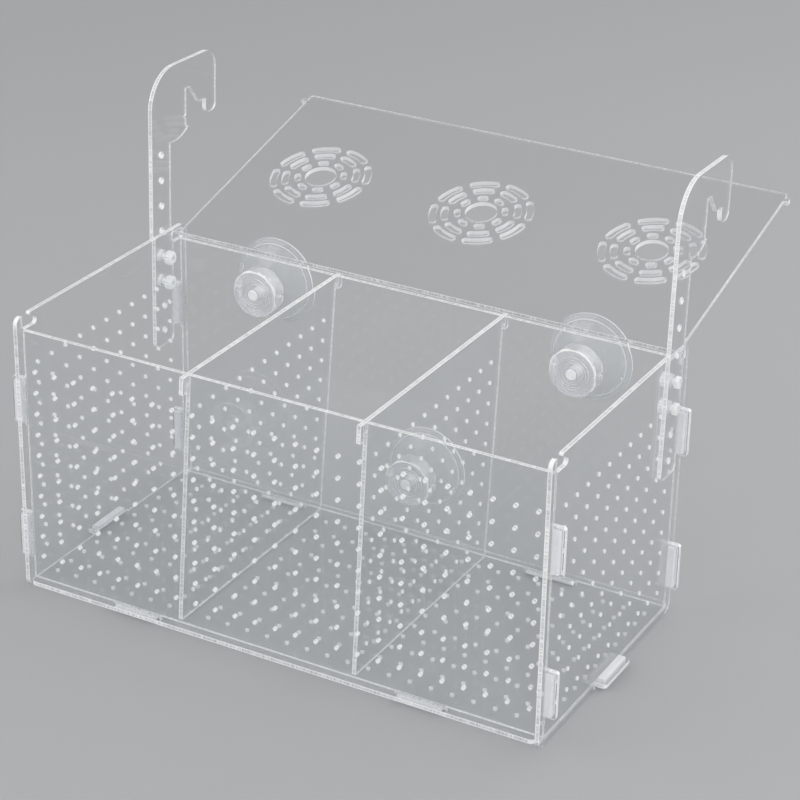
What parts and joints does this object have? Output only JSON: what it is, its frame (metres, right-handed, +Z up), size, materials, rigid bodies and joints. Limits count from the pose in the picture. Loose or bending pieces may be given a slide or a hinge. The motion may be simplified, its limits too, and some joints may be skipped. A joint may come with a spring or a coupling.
{
  "type": "fish breeding box",
  "caption": "Clear perforated box of slotted sheets with lift-out dividers, a vented hinged lid, rim hooks and suction cups, for keeping young fish apart inside an aquarium.",
  "frame": {"origin": "centre of the box's footprint, on the plane that the box stands on", "axes": "+X along the front to the right-hand side panel, +Y to the back where the suction cups and the rim hooks are, +Z up"},
  "size_m": [0.264, 0.2418, 0.207],
  "materials": {
    "clear_sheet": "polished clear sheet with bright cut edges",
    "clear_fastener": "clear moulded",
    "soft_clear": "clear soft, faintly blue",
    "lock_strip": "milky soft"
  },
  "bodies": {
    "box": {"front_panel": "clear_sheet", "back_panel": "clear_sheet", "left_side_panel": "clear_sheet", "right_side_panel": "clear_sheet", "floor_panel": "clear_sheet", "left_hanger": "clear_sheet", "right_hanger": "clear_sheet", "left_upper_screw": "clear_fastener", "left_lower_screw": "clear_fastener", "right_upper_screw": "clear_fastener", "right_lower_screw": "clear_fastener", "left_upper_nut": "clear_fastener", "left_lower_nut": "clear_fastener", "right_upper_nut": "clear_fastener", "right_lower_nut": "clear_fastener", "left_cup": "soft_clear", "right_cup": "soft_clear", "lower_cup": "soft_clear", "left_cap": "soft_clear", "right_cap": "soft_clear", "lower_cap": "soft_clear", "front_left_upper_strip": "lock_strip", "front_left_lower_strip": "lock_strip", "front_right_upper_strip": "lock_strip", "front_right_lower_strip": "lock_strip", "back_left_upper_strip": "lock_strip", "back_left_lower_strip": "lock_strip", "back_right_upper_strip": "lock_strip", "back_right_lower_strip": "lock_strip", "front_left_foot_strip": "lock_strip", "front_right_foot_strip": "lock_strip", "back_left_foot_strip": "lock_strip", "back_right_foot_strip": "lock_strip", "left_end_strip": "lock_strip", "right_end_strip": "lock_strip"},
    "lid": {"lid": "clear_sheet"},
    "left_divider": {"left_divider": "clear_sheet"},
    "right_divider": {"right_divider": "clear_sheet"}
  },
  "joints": [
    {"name": "lid_swing", "type": "hinge", "parent": "box", "child": "lid", "pos_m": [0, 0.05915, 0.12624], "axis": [1, 0, 0], "range_deg": [0, 165.3]},
    {"name": "left_divider_swing", "type": "hinge", "parent": "box", "child": "left_divider", "pos_m": [-0.042, 0, 0.122], "axis": [0, 1, 0], "range_deg": [-6.6, 0]},
    {"name": "right_divider_swing", "type": "hinge", "parent": "box", "child": "right_divider", "pos_m": [0.042, 0, 0.122], "axis": [0, 1, 0], "range_deg": [-5.3, 1.3]}
  ]
}
